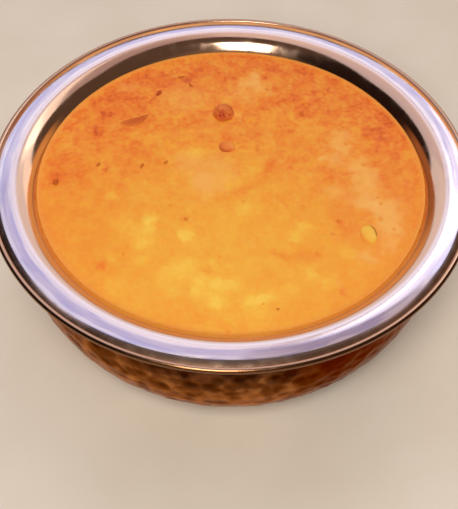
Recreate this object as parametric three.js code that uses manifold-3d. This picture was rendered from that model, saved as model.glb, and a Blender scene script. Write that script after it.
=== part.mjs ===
// A serving bowl of dal. The bowl has two walls: a polished steel bowl hangs by its wide rim inside a
// deeper, hammered copper shell, with air between them. Thick yellow lentil soup fills it to just
// under the rim, and a piece of tomato and a curl of tomato skin float in the soup.
//
// Millimetres, +Z up. The origin is under the middle of the base, on the surface the bowl stands on.

import * as THREE from 'three';
import { mergeVertices } from 'three/addons/utils/BufferGeometryUtils.js';
import Module from 'manifold-3d';

const wasm = await Module();
wasm.setup();

// ---- Driving dimensions ----

// Every spun piece has the same number of sides, so the gaps between them stay even.
const sides = 48;

// The bowl
const bowlHeight = 51.5; // base to the inner edge of the rim
const rimRadius = 80; // out to the rolled edge
const rollRadius = 1; // thickness of the rolled edge, halved
const rollDrop = 1.9; // its middle, below the inner edge of the rim
const creaseRadius = 76.6; // where the flat of the rim turns down
const creaseDrop = 0.5;
const flatRadius = 72.6; // inner edge of the flat of the rim
const lipRound = 9.5; // the bend from the rim down into the bowl
const floorDrop = 45; // the inside's depth
const floorRadius = 26; // flat part of the floor
const steelThickness = 1;

// The copper shell
const shellRadius = 73.2; // at its widest
const shellDrop = 14; // where its side starts to curve in, below the rim
const footRadius = 52; // the flat that it stands on
const shellEdgeRadius = 76; // its top edge, turned out under the rim
const shellBend = 2; // outside of that bend
const copperThickness = 1;

const fitGap = 0.3; // between pieces that touch

// The soup
const soupDrop = 5.3; // level of the soup, below the rim
const climb = 0.8; // how far it climbs the wall
const climbWidth = 1.6; // how far in from the wall the climb reaches
const soupRings = 12; // rings of faces across the top
const swell = { height: 0.16, across: 63, away: 52 }; // slow waves, and their lengths
const ladleMark = { x: -4, y: 3, height: 0.2, ringSpacing: 20, spread: 20 };

// The tomato piece: its middle, its half sizes, and how deep its skin is wrinkled, as a share of them
const tomatoPiece = { x: -3, y: 32.1, halfX: 3.6, halfY: 4, halfZ: 2.7 };
const wrinkles = { broad: 0.06, fine: 0.04 };

// The curl of tomato skin, whose middle lies just above the soup
const tomatoSkin = { x: -33.7, y: 27.9, length: 11, width: 3.2, thickness: 0.5, turn: 0.49 };
const skinShape = { lift: 0.15, taper: 0.6, sideways: 0.5, wave: 0.12 };

// A drop of oil and a bubble, low domes with these half sizes
const oilDrop = { x: 44.3, y: -23.8, halfX: 2.8, halfY: 4.2, halfZ: 0.7 };
const bubble = { x: -1.5, y: 15.5, halfX: 2.8, halfY: 2.6, halfZ: 0.5 };

// Soft lentils that break the surface, and the smaller seeds and flecks between them
const lentils = { count: 32, half: 2.3, rise: 0.42, reach: 57, seed: 11 };
const flecks = { count: 20, half: 0.65, rise: 0.3, reach: 58, seed: 5 };
const clearance = 1.2; // lentils and flecks keep this far from the tomato and from each drop
const smallest = 0.75; // of a scattered piece's size, the rest up to as much above 1
const narrowness = 0.8; // of a scattered piece: its width over its length
const looseness = 0.4; // how far a piece strays from its even place, as a share of the spacing

// Faces round and down a dome
const lentilFaces = { around: 8, down: 4 };
const fleckFaces = { around: 5, down: 3 };
const dropFaces = { around: 12, down: 6 };

// ---- Heights and radii that follow ----

const mouthRadius = flatRadius - lipRound;
const mouthHeight = bowlHeight - lipRound;
const floorHeight = bowlHeight - floorDrop;
const shellHeight = bowlHeight - shellDrop;
const shellTop = bowlHeight - creaseDrop - steelThickness - fitGap;
const soupLevel = bowlHeight - soupDrop;
const contactHeight = soupLevel + climb; // the soup meets the bend of the lip here
const contactRadius = flatRadius
  - Math.sqrt((lipRound + fitGap) ** 2 - (contactHeight - mouthHeight) ** 2);
const goldenAngle = Math.PI * (3 - Math.sqrt(5));

// ---- Helpers ----

// A closed profile, counter-clockwise round the material in (radius, height), spun about Z.
function spin(profile) {
  return new THREE.LatheGeometry(profile, sides).rotateX(Math.PI / 2);
}

function toSolid(geometry) {
  geometry.deleteAttribute('normal');
  geometry.deleteAttribute('uv');
  const merged = mergeVertices(geometry);
  return new wasm.Manifold(new wasm.Mesh({
    numProp: 3,
    vertProperties: merged.attributes.position.array,
    triVerts: new Uint32Array(merged.index.array),
  }));
}

function toGeometry(solid) {
  const { vertProperties, triVerts } = solid.getMesh();
  const geometry = new THREE.BufferGeometry();
  geometry.setAttribute('position', new THREE.BufferAttribute(vertProperties, 3));
  geometry.setIndex(new THREE.BufferAttribute(triVerts, 1));
  geometry.computeVertexNormals();
  return geometry;
}

// Moves every point of a geometry to the place that the rule gives for it.
function reshape(geometry, rule) {
  const position = geometry.attributes.position;
  const point = new THREE.Vector3();
  for (let i = 0; i < position.count; i++) {
    point.fromBufferAttribute(position, i);
    rule(point);
    position.setXYZ(i, point.x, point.y, point.z);
  }
  return geometry;
}

// A repeatable run of numbers from 0 to 1.
function seededNumbers(seed) {
  const factor = 16807;
  const range = 2 ** 31 - 1;
  let state = seed;
  return () => {
    state = (state * factor) % range;
    return state / range;
  };
}

// Height of a wave of a given length, from -1 to 1, at a distance along it.
function wave(distance, length, shift = 0) {
  return Math.cos((2 * Math.PI * distance) / length + shift);
}

// A quarter of an ellipse, from its widest point down to a flat, moved outwards by an offset.
function quarterRound(flat, widest, low, high, offset) {
  const steps = 6;
  const across = widest - flat;
  const down = high - low;
  const points = [];
  for (let i = 0; i <= steps; i++) {
    const turn = (Math.PI / 2) * (i / steps);
    const outwards = new THREE.Vector2(down * Math.cos(turn), -across * Math.sin(turn));
    outwards.setLength(offset);
    points.push(new THREE.Vector2(
      flat + across * Math.cos(turn) + outwards.x,
      high - down * Math.sin(turn) + outwards.y,
    ));
  }
  return points;
}

// ---- The steel bowl ----

// Its wall from the inner edge of the rim down to the middle of the floor, moved outwards from the
// soup's side by an offset: 0 is the inside of the bowl.
function steelWall(offset) {
  const lipSteps = 4;
  const points = [];
  for (let i = 0; i < lipSteps; i++) {
    const turn = (Math.PI / 2) * (i / lipSteps);
    const bend = lipRound - offset;
    points.push(new THREE.Vector2(
      flatRadius - bend * Math.sin(turn),
      mouthHeight + bend * Math.cos(turn),
    ));
  }
  points.push(...quarterRound(floorRadius, mouthRadius, floorHeight, mouthHeight, offset));
  points.push(new THREE.Vector2(0, floorHeight - offset));
  return points;
}

// The flat of the rim, from the crease inwards. It falls away a little faster towards the crease.
function flatOfRim(depth) {
  const steps = 3;
  const points = [];
  for (let i = 0; i < steps; i++) {
    const out = 1 - i / steps;
    points.push(new THREE.Vector2(
      flatRadius + (creaseRadius - flatRadius) * out,
      bowlHeight - creaseDrop * out * out - depth,
    ));
  }
  return points;
}

// The rolled edge, from its inner side round under it and up its outside.
function rolledEdge() {
  const steps = 6;
  const start = 1.25 * Math.PI;
  const end = 2.75 * Math.PI;
  const points = [];
  for (let i = 0; i <= steps; i++) {
    const turn = start + (end - start) * (i / steps);
    points.push(new THREE.Vector2(
      rimRadius - rollRadius + rollRadius * Math.cos(turn),
      bowlHeight - rollDrop + rollRadius * Math.sin(turn),
    ));
  }
  return points;
}

function steelBowl() {
  const profile = [
    ...steelWall(steelThickness).reverse(),
    ...flatOfRim(steelThickness).reverse(),
    ...rolledEdge(),
    ...flatOfRim(0),
    ...steelWall(0),
  ];
  return spin(profile);
}

// ---- The copper shell ----

// Its wall from the edge under the rim down to the middle of the base, moved inwards by an inset:
// 0 is the outside of the shell.
function copperWall(inset) {
  const bendSteps = 3;
  const bendMiddle = shellTop - copperThickness - shellBend;
  const bend = shellBend + inset;
  const points = [new THREE.Vector2(shellEdgeRadius, bendMiddle + bend)];
  for (let i = 0; i <= bendSteps; i++) {
    const turn = (Math.PI / 2) * (i / bendSteps);
    points.push(new THREE.Vector2(
      shellRadius + shellBend - bend * Math.sin(turn),
      bendMiddle + bend * Math.cos(turn),
    ));
  }
  points.push(...quarterRound(footRadius, shellRadius, 0, shellHeight, -inset));
  points.push(new THREE.Vector2(0, inset));
  return points;
}

function copperShell() {
  return spin([...copperWall(0).reverse(), ...copperWall(copperThickness)]);
}

// ---- What floats in the soup ----

// A soft, wrinkled piece of tomato. Grown by a margin, it is also the hollow it sits in.
function tomatoPieceBody(margin) {
  const { x, y, halfX, halfY, halfZ } = tomatoPiece;
  return reshape(new THREE.IcosahedronGeometry(1, 3), (p) => {
    const broad = wrinkles.broad * wave(p.x, 1.25, 0.5) * wave(p.y, 1.05);
    const fine = wrinkles.fine * wave(p.z, 0.7, 1.5);
    p.multiplyScalar(1 + broad + fine);
    p.set(
      x + p.x * (halfX + margin),
      y + p.y * (halfY + margin),
      soupLevel + p.z * (halfZ + margin),
    );
  });
}

// A curl of tomato skin: a strip that narrows to both ends and waves a little.
function tomatoSkinBody(margin) {
  const { x, y, length, width, thickness, turn } = tomatoSkin;
  const grown = 2 * margin;
  const stepsAlong = 10;
  const stepsAcross = 3;
  const strip = new THREE.BoxGeometry(
    length + grown,
    width + grown,
    thickness + grown,
    stepsAlong,
    stepsAcross,
  );
  reshape(strip, (p) => {
    const outwards = Math.min(1, Math.abs(p.x) / (length / 2));
    const narrowed = 1 - skinShape.taper * outwards ** 2;
    p.y = p.y * narrowed + skinShape.sideways * wave(p.x, 1.8 * length, -Math.PI / 2);
    p.z += skinShape.lift + skinShape.wave * wave(p.x, length);
  });
  return strip.rotateZ(turn).translate(x, y, soupLevel);
}

// ---- The soup ----

// The top of the soup: slow swells, the rings that the ladle left in the middle, and the climb at
// the wall, where everything else dies away.
function soupHeight(x, y) {
  const fromWall = Math.max(0, contactRadius - Math.hypot(x, y));
  const nearWall = Math.exp(-fromWall / climbWidth);
  const swelling = swell.height * wave(x, swell.across, -0.6) * wave(y, swell.away, -0.4);
  const fromMark = Math.hypot(x - ladleMark.x, y - ladleMark.y);
  const fading = Math.exp(-((fromMark / ladleMark.spread) ** 2));
  const rings = ladleMark.height * wave(fromMark, ladleMark.ringSpacing) * fading;
  return soupLevel + climb * nearWall + (swelling + rings) * (1 - nearWall);
}

// The soup fills the bowl a gap short of its wall. The points of its top are spun level with the
// contact line, and then each takes the height of the soup where it stands.
function soupBody() {
  const nearly = 0.01;
  const profile = steelWall(-fitGap).filter((p) => p.y < soupLevel - climb).reverse();
  profile.push(new THREE.Vector2(contactRadius, contactHeight));
  for (let ring = 0; ring <= soupRings; ring++) {
    const out = 1 - ring / soupRings;
    profile.push(new THREE.Vector2((contactRadius - climbWidth) * out, contactHeight));
  }
  return reshape(spin(profile), (p) => {
    if (p.z > contactHeight - nearly) p.z = soupHeight(p.x, p.y);
  });
}

// A low dome that stands out of the soup: a lentil, a fleck, a bubble or a drop of oil.
function dome({ x, y, halfX, halfY, halfZ, turn = 0 }, faces) {
  return new THREE.SphereGeometry(1, faces.around, faces.down)
    .rotateX(Math.PI / 2)
    .scale(halfX, halfY, halfZ)
    .rotateZ(turn)
    .translate(x, y, soupHeight(x, y));
}

// Places spread evenly over the soup, each moved a little, that keep clear of what floats in it.
function scatter({ count, half, rise, reach, seed }) {
  const draw = seededNumbers(seed);
  const floating = [
    { x: tomatoPiece.x, y: tomatoPiece.y, reach: tomatoPiece.halfY },
    { x: tomatoSkin.x, y: tomatoSkin.y, reach: tomatoSkin.length / 2 },
    { x: oilDrop.x, y: oilDrop.y, reach: oilDrop.halfY },
    { x: bubble.x, y: bubble.y, reach: bubble.halfX },
  ];
  const places = [];
  for (let i = 0; i < count; i++) {
    const size = smallest + 2 * (1 - smallest) * draw();
    const out = reach * Math.sqrt((i + 0.5 + looseness * (draw() - 0.5)) / count);
    const angle = i * goldenAngle + seed + looseness * (draw() - 0.5);
    const x = out * Math.cos(angle);
    const y = out * Math.sin(angle);
    const turn = Math.PI * draw();
    const blocked = floating.some((f) => {
      const room = f.reach + half * size + clearance;
      return Math.hypot(x - f.x, y - f.y) < room;
    });
    if (blocked) continue;
    places.push({
      x,
      y,
      halfX: half * size,
      halfY: half * size * narrowness,
      halfZ: rise * size,
      turn,
    });
  }
  return places;
}

function dal() {
  const domes = [
    ...scatter(lentils).map((place) => dome(place, lentilFaces)),
    ...scatter(flecks).map((place) => dome(place, fleckFaces)),
    dome(oilDrop, dropFaces),
    dome(bubble, dropFaces),
  ];
  const hollows = [tomatoPieceBody(fitGap), tomatoSkinBody(fitGap)];
  let solid = toSolid(soupBody());
  for (const raised of domes) solid = solid.add(toSolid(raised));
  for (const hollow of hollows) solid = solid.subtract(toSolid(hollow));
  return toGeometry(solid);
}

// ---- The part ----

const steel = new THREE.MeshStandardMaterial({ color: 0xd8d4de, roughness: 0.15, metalness: 1 });
const copper = new THREE.MeshStandardMaterial({ color: 0xb0622e, roughness: 0.35, metalness: 1 });
const soup = new THREE.MeshStandardMaterial({ color: 0xf09a34, roughness: 0.3, metalness: 0 });
const tomato = new THREE.MeshStandardMaterial({ color: 0xc8501e, roughness: 0.4, metalness: 0 });
const skin = new THREE.MeshStandardMaterial({ color: 0xc76a26, roughness: 0.4, metalness: 0 });

function named(name, geometry, material) {
  const mesh = new THREE.Mesh(geometry, material);
  mesh.name = name;
  return mesh;
}

const group = new THREE.Group();
group.add(
  named('steel_bowl', steelBowl(), steel),
  named('copper_shell', copperShell(), copper),
  named('dal', dal(), soup),
  named('tomato_piece', tomatoPieceBody(0), tomato),
  named('tomato_skin', tomatoSkinBody(0), skin),
);

export default group;
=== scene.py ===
# %% [markdown]
# # A bowl of dal
#
# This lesson dresses a bowl of thick yellow lentil dal. The bowl has two walls: a polished steel bowl
# hangs by its rim inside a hammered copper shell. The plain solids come from a CAD program and give
# the sizes. Each step models one piece over its solid, finer than before, and gives it its finish.
#
# The first cell loads the solids. They stay where they are and are never changed.

import math
import random

import bpy
from mathutils import Matrix, Vector, noise
from mathutils.kdtree import KDTree


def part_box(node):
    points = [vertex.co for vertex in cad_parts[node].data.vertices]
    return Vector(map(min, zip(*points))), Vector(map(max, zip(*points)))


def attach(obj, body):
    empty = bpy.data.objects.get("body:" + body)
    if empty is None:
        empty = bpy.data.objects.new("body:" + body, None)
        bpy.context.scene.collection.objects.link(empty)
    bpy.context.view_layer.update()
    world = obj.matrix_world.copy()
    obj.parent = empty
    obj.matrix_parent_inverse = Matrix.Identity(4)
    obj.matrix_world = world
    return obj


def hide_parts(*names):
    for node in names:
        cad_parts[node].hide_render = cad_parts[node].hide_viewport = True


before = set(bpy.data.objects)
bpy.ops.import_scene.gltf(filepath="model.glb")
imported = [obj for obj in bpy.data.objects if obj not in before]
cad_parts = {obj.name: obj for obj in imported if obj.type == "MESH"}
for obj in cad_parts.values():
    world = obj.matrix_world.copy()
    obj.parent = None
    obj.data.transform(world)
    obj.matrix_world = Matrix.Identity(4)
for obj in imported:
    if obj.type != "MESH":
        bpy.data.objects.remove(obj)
scene = bpy.context.scene
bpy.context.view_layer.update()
print("solids:", sorted(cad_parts))

# %% [markdown]
# ## Sizes
#
# Blender works in metres, and a bowl is easier to think of in millimetres, so every size below is
# written times `MM`. The outer sizes are read from the solids. The rest are the bends and steps of
# the metal, which a box cannot tell.

# %% Sizes of the bowl
MM = 0.001

steel_low, steel_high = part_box("steel_bowl")
_, copper_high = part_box("copper_shell")
rim_radius = steel_high.x
rim_height = steel_high.z

# The steel bowl: heights count down from the top of the rim
roll_radius = 1 * MM
roll_drop = 1.9 * MM
crease_radius = rim_radius - 3.4 * MM
crease_drop = 0.5 * MM
flat_radius = rim_radius - 7.4 * MM
lip_round = 9.5 * MM
mouth_radius = flat_radius - lip_round
mouth_height = rim_height - lip_round
floor_height = steel_low.z + 1 * MM
floor_radius = 26 * MM
steel_thickness = 1 * MM

# The copper shell
shell_radius = 73.2 * MM
shell_height = rim_height - 14 * MM
shell_edge_radius = copper_high.x
shell_top = copper_high.z
shell_bend = 2 * MM
foot_radius = 52 * MM
copper_thickness = 1 * MM
print("rim radius", rim_radius, "height", rim_height, "mouth", mouth_radius)

# %% Sizes of the dal
# The dal reaches a hair into the steel, so that no gap opens between two meshes of different fineness
overlap = 0.04 * MM
soup_level = rim_height - 5.3 * MM
below_top = soup_level - 1 * MM
climb = 0.8 * MM
climb_width = 1.6 * MM
contact_height = soup_level + climb
reach_of_bend = math.sqrt((lip_round - overlap) ** 2 - (contact_height - mouth_height) ** 2)
contact_radius = flat_radius - reach_of_bend
print("the dal meets the steel at radius", round(contact_radius / MM, 2), "mm")

# %% [markdown]
# ## Drawing a profile and spinning it
#
# Everything metal here is turned: it is the same all the way round. On a real lathe a profile meets
# a spinning sheet. In Blender the profile is drawn as a line of vertices in the plane of X and Z,
# by extruding one vertex again and again, and the Spin tool sweeps it round the Z axis.
#
# A Screw modifier could do the same. Spin is used because it leaves a plain mesh at once, and the
# seam is then closed by merging doubled vertices. A spun mesh can come out inside out, so its
# normals are made consistent last.

# %% Points along round stretches
def arc(middle, radius, start, end, steps):
    """Points (radius, height) on an arc in the plane that is spun. The angles are in degrees."""
    points = []
    for i in range(steps + 1):
        turn = math.radians(start + (end - start) * i / steps)
        points.append((middle[0] + radius * math.cos(turn), middle[1] + radius * math.sin(turn)))
    return points


def quarter_round(flat, widest, low, high, offset, steps):
    """A quarter of an ellipse from its widest point down to a flat, moved outwards by an offset."""
    across = widest - flat
    down = high - low
    points = []
    for i in range(steps + 1):
        turn = math.pi / 2 * i / steps
        outwards = Vector((down * math.cos(turn), -across * math.sin(turn))).normalized() * offset
        r = flat + across * math.cos(turn) + outwards.x
        h = high - down * math.sin(turn) + outwards.y
        points.append((r, h))
    return points


def straight(start, end, steps):
    """Points from start up to, but not including, end."""
    points = []
    for i in range(steps):
        share = i / steps
        points.append((start[0] + (end[0] - start[0]) * share, start[1] + (end[1] - start[1]) * share))
    return points


# %% Draw a profile and spin it
def spun(name, profile, steps):
    """Extrudes one vertex along the profile, and spins the line that this draws round the Z axis."""
    bpy.ops.object.select_all(action="DESELECT")
    bpy.ops.mesh.primitive_plane_add(size=MM, location=(0, 0, 0))
    piece = bpy.context.object
    piece.name = name
    bpy.ops.object.mode_set(mode="EDIT")
    bpy.ops.mesh.merge(type="CENTER")
    bpy.ops.transform.translate(value=(profile[0][0], 0, profile[0][1]))
    for here, there in zip(profile, profile[1:]):
        step = (there[0] - here[0], 0, there[1] - here[1])
        bpy.ops.mesh.extrude_region_move(TRANSFORM_OT_translate={"value": step})
    bpy.ops.mesh.select_all(action="SELECT")
    bpy.ops.mesh.spin(steps=steps, angle=math.tau, center=(0, 0, 0), axis=(0, 0, 1))
    bpy.ops.mesh.select_all(action="SELECT")
    bpy.ops.mesh.remove_doubles(threshold=0.001 * MM)
    bpy.ops.mesh.normals_make_consistent(inside=False)
    bpy.ops.object.mode_set(mode="OBJECT")
    bpy.ops.object.shade_smooth()
    print(name, "has", len(piece.data.polygons), "faces")
    return piece


# %% [markdown]
# ## Pushing a surface about by painted weight
#
# The dal is not flat and the copper is not smooth. By hand, one would paint a vertex group and let a
# Displace modifier lift what is painted. The same is done here, except that a rule paints the
# weights: it is asked for a number from 0 to 1 at every vertex. Several groups, each with its own
# modifier, build up the relief in layers, and every modifier is applied as soon as it is made.

# %% Paint weights by a rule and displace
def paint_weights(piece, name, rule):
    """Makes a vertex group with the weight that the rule gives at each vertex's place."""
    group = piece.vertex_groups.new(name=name)
    painted = 0
    for vertex in piece.data.vertices:
        weight = min(1.0, rule(vertex.co))
        if weight > 0.001:
            group.add([vertex.index], weight, "REPLACE")
            painted += 1
    print(name, "has", painted, "vertices of", piece.name)


def displace(piece, group, distance, direction="Z", texture=None):
    """Moves what a vertex group covers. With a texture, grey stays, white rises and black sinks."""
    bpy.context.view_layer.objects.active = piece
    modifier = piece.modifiers.new(group, "DISPLACE")
    modifier.vertex_group = group
    modifier.direction = direction
    modifier.strength = distance
    modifier.mid_level = 0
    if texture:
        modifier.texture = texture
        modifier.texture_coords = "LOCAL"
        modifier.mid_level = 0.5
    bpy.ops.object.modifier_apply(modifier=modifier.name)


def paint_attribute(piece, name, rule):
    """Stores a number at each vertex for a material to read."""
    attribute = piece.data.attributes.new(name, "FLOAT", "POINT")
    values = [min(1.0, max(0.0, rule(vertex.co))) for vertex in piece.data.vertices]
    attribute.data.foreach_set("value", values)
    print(name, "covers", round(100 * sum(values) / len(values)), "% of", piece.name)


# %% [markdown]
# ## The steel bowl
#
# The real bowl is pressed from one sheet of steel. Its rim is nearly flat, breaks down at a crease
# and ends in a rolled edge, like a wire. Inside, a generous bend leads down into the bowl, and most
# of it is under the dal. The bends that show get many points, and the hidden wall only a few.

# %% Draw the profile of the steel bowl
def steel_wall(offset, lip_steps, wall_steps):
    """The wall from the flat of the rim down to the middle of the floor. Offset 0 is its inside."""
    middle = (flat_radius, mouth_height)
    points = arc(middle, lip_round - offset, 90, 180, lip_steps)[:-1]
    points += quarter_round(floor_radius, mouth_radius, floor_height, mouth_height, offset, wall_steps)
    points.append((0, floor_height - offset))
    return points


def flat_of_rim(depth, steps):
    """The flat of the rim from the crease inwards. It falls a little faster towards the crease."""
    points = []
    for i in range(steps):
        out = 1 - i / steps
        r = flat_radius + (crease_radius - flat_radius) * out
        points.append((r, rim_height - crease_drop * out ** 2 - depth))
    return points


roll_middle = (rim_radius - roll_radius, rim_height - roll_drop)
steel_profile = steel_wall(steel_thickness, 8, 12)[::-1]
steel_profile += flat_of_rim(steel_thickness, 4)[::-1]
steel_profile += arc(roll_middle, roll_radius, 225, 495, 30)
steel_profile += flat_of_rim(0, 10)
steel_profile += steel_wall(0, 36, 12)
print("the steel profile has", len(steel_profile), "points")

# %% Spin the steel bowl
steel_bowl = spun("steel_bowl_fine", steel_profile, 384)
bpy.ops.object.shade_smooth_by_angle(angle=math.radians(35))

# %% [markdown]
# ## The copper shell
#
# The shell is thicker work: a copper sheet beaten over a stake, so that rows of shallow dimples run
# round it with soft ridges between them. A bump texture would do from far away, but the dimples
# show in the outline and in the light, so they are real. Each blow of the hammer is a place on the
# wall with a force of its own. Every vertex looks up the nearest blow, and the nearer it is, the
# deeper it is pushed in. Where two blows meet, a ridge is left standing.

# %% Draw the profile of the copper shell
def copper_wall(inset, bend_steps, side_steps, round_steps, flat_steps):
    """The wall from the edge under the rim down to the middle of the base. Inset 0 is the outside."""
    bend_middle = (shell_radius + shell_bend, shell_top - copper_thickness - shell_bend)
    bend = shell_bend + inset
    points = [(shell_edge_radius, bend_middle[1] + bend)]
    points += arc(bend_middle, bend, 90, 180, bend_steps)[:-1]
    side_top = (shell_radius - inset, bend_middle[1])
    side_foot = (shell_radius - inset, shell_height)
    points += straight(side_top, side_foot, side_steps)
    rounding = quarter_round(foot_radius, shell_radius, 0, shell_height, -inset, round_steps)
    points += rounding
    points += straight(rounding[-1], (0, inset), flat_steps)[1:]
    points.append((0, inset))
    return points


copper_profile = copper_wall(0, 8, 9, 60, 6)[::-1] + copper_wall(copper_thickness, 4, 1, 10, 1)
copper_shell = spun("copper_shell_fine", copper_profile, 480)

# %% Find a place for every dimple
random.seed(21)
dimple_spacing = 5.2 * MM
row_spacing = 0.8 * dimple_spacing
dimple_looseness = 0.34
dimple_reach = 0.66 * dimple_spacing
dimple_depth = 0.48 * MM
dimples_top = shell_top - 3 * MM
fade_at_foot = 4 * MM
fade_at_top = 2 * MM


def outline_radius(height):
    """The shell's outer radius at a height."""
    drop = min(1.0, max(0.0, (shell_height - height) / shell_height))
    return foot_radius + (shell_radius - foot_radius) * math.sqrt(1 - drop ** 2)


def dimple_places():
    """Rows of places down the outside, each row turned by half a step and every place loosened."""
    outline = straight((shell_radius, dimples_top), (shell_radius, shell_height), 40)
    outline += quarter_round(foot_radius, shell_radius, 0, shell_height, 0, 200)
    places = []
    travelled = row_spacing / 2
    row = 0
    for here, there in zip(outline, outline[1:]):
        travelled += math.dist(here, there)
        if travelled < row_spacing:
            continue
        travelled = 0
        row += 1
        around = round(math.tau * there[0] / dimple_spacing)
        for i in range(around):
            turn = math.tau * (i + row / 2 + dimple_looseness * random.uniform(-1, 1)) / around
            drop = dimple_looseness * row_spacing * random.uniform(-1, 1)
            places.append(Vector((there[0] * math.cos(turn), there[0] * math.sin(turn), there[1] + drop)))
    return places


dimples = dimple_places()
blows = [random.uniform(0.45, 1.0) for _ in dimples]
tree_of_dimples = KDTree(len(dimples))
for number, place in enumerate(dimples):
    tree_of_dimples.insert(place, number)
tree_of_dimples.balance()
print(len(dimples), "dimples")


# %% Beat the dimples into the copper
def dimple_weight(place):
    """How deep the nearest blow went at a place on the outer wall, from 0 to 1."""
    r = math.hypot(place.x, place.y)
    if r < outline_radius(place.z) - copper_thickness / 2 or r < foot_radius:
        return 0
    _, number, away = tree_of_dimples.find(place)
    bowl = blows[number] * max(0.0, 1 - (away / dimple_reach) ** 2)
    at_foot = min(1.0, (r - foot_radius) / fade_at_foot)
    at_top = min(1.0, max(0.0, (dimples_top - place.z) / fade_at_top))
    return bowl * at_foot * at_top


paint_weights(copper_shell, "dimples", dimple_weight)
paint_attribute(copper_shell, "pit", dimple_weight)
displace(copper_shell, "dimples", -dimple_depth, direction="NORMAL")

# %% [markdown]
# ## The dal
#
# Dal is lentils boiled soft until they fall apart. The soup is thick, so it keeps slow swells, the
# rings of the ladle, and low bumps where a soft lentil lies just under the top. It climbs the wall a
# little where it touches. The whole body of soup is one closed solid that reaches down to the steel.

# %% Draw the profile of the dal and spin it
def dal_profile():
    """From the bottom in the middle, up along the steel, over the top and back to the middle."""
    wall = steel_wall(overlap, 8, 10)
    points = [point for point in wall if point[1] < contact_height - climb][::-1]
    points.append((contact_radius, contact_height))
    top_rings = 118
    for ring in range(1, top_rings + 1):
        r = contact_radius * (1 - ring / top_rings)
        up = climb * math.exp(-(contact_radius - r) / climb_width)
        points.append((r, soup_level + up))
    return points


dal = spun("dal_fine", dal_profile(), 600)

# %% Where things lie in the dal
# Places are (x, y) in millimetres from the middle, y away from the one who eats.
ladle_mark = Vector((-4, 3))
ring_spacing = 20
ring_spread = 20
ring_height = 0.2 * MM
swell_height = 0.16 * MM
swell_across = 63
swell_away = 52


def in_mm(place):
    return Vector((place.x / MM, place.y / MM))


def on_top(place):
    """1 on the open top of the dal, fading to 0 at the wall and below."""
    if place.z < below_top:
        return 0
    from_wall = contact_radius - math.hypot(place.x, place.y)
    return 1 - math.exp(-max(0, from_wall) / climb_width)


def swell(place):
    """Slow waves as in the solid, from -1 to 1."""
    across = math.cos(math.tau * place.x / MM / swell_across - 0.6)
    away = math.cos(math.tau * place.y / MM / swell_away - 0.4)
    return across * away


def ladle_rings(place):
    out = (in_mm(place) - ladle_mark).length
    return math.cos(math.tau * out / ring_spacing) * math.exp(-(out / ring_spread) ** 2)


# %% Raise the swells and the ladle's rings
paint_weights(dal, "swell_up", lambda place: on_top(place) * max(0, swell(place)))
paint_weights(dal, "swell_down", lambda place: on_top(place) * max(0, -swell(place)))
paint_weights(dal, "rings_up", lambda place: on_top(place) * max(0, ladle_rings(place)))
paint_weights(dal, "rings_down", lambda place: on_top(place) * max(0, -ladle_rings(place)))
displace(dal, "swell_up", swell_height)
displace(dal, "swell_down", -swell_height)
displace(dal, "rings_up", ring_height)
displace(dal, "rings_down", -ring_height)

# %% Spread soft lentils under the top
class SeededDraw:
    """A repeatable run of numbers from 0 to 1, the same that the solid's maker used."""

    def __init__(self, seed):
        self.state = seed

    def next(self):
        span = 2 ** 31 - 1
        self.state = self.state * 16807 % span
        return self.state / span


tomato_place = Vector((-3.0, 32.1))
skin_place = Vector((-33.7, 27.9))
oil_place = Vector((44.3, -23.8))
bubble_place = Vector((-1.5, 15.5))
kept_clear = [(tomato_place, 4.0), (skin_place, 5.5), (oil_place, 4.2), (bubble_place, 2.8)]
clearance = 1.2
smallest = 0.75
looseness = 0.4
narrowness = 0.8
lentil_spread = 1.3
lentil_rise = 0.26 * MM


def room_taken(place, margin):
    """True where the tomato, the skin, the oil or the bubble is nearer than the margin."""
    return any((place - other).length < room + margin for other, room in kept_clear)


def scatter(count, half, reach, seed):
    """Places spread evenly over the dal, loosened a little, as (place, half size, turn)."""
    draw = SeededDraw(seed)
    golden_angle = math.pi * (3 - math.sqrt(5))
    found = []
    for i in range(count):
        size = smallest + 2 * (1 - smallest) * draw.next()
        out = reach * math.sqrt((i + 0.5 + looseness * (draw.next() - 0.5)) / count)
        angle = i * golden_angle + seed + looseness * (draw.next() - 0.5)
        place = Vector((out * math.cos(angle), out * math.sin(angle)))
        turn = math.pi * draw.next()
        if not room_taken(place, half * size + clearance):
            found.append((place, half * size, turn))
    return found


lentils = scatter(count=32, half=2.3, reach=57, seed=11)
print(len(lentils), "lentils lie under the top")


def bump_at(place, middle, half, turn):
    """1 over the middle of a lentil, falling softly to 0 at its edge."""
    away = in_mm(place) - middle
    along = (away.x * math.cos(turn) + away.y * math.sin(turn)) / half
    across = (away.y * math.cos(turn) - away.x * math.sin(turn)) / (narrowness * half)
    out = math.hypot(along, across)
    return (1 + math.cos(math.pi * out)) / 2 if out < 1 else 0


def over_lentil(place):
    """1 over the middle of a lentil, 0 away from all of them."""
    return max(bump_at(place, middle, lentil_spread * half, turn) for middle, half, turn in lentils)


paint_weights(dal, "lentils", lambda place: over_lentil(place) if place.z >= below_top else 0)
displace(dal, "lentils", lentil_rise)

# %% Add the fine unevenness of the top
def soft_border(past, softness):
    """0 well before a border and 1 well past it. Both numbers are in millimetres."""
    return 1 / (1 + math.exp(-past / softness))


def froth_area(place):
    """Where the top is frothy: at the far side and to the right."""
    x, y = in_mm(place)
    far = soft_border(y + 0.45 * x - 26, 7)
    right = soft_border(x + 0.15 * y - 33, 5)
    return on_top(place) * max(far, right)


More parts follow.
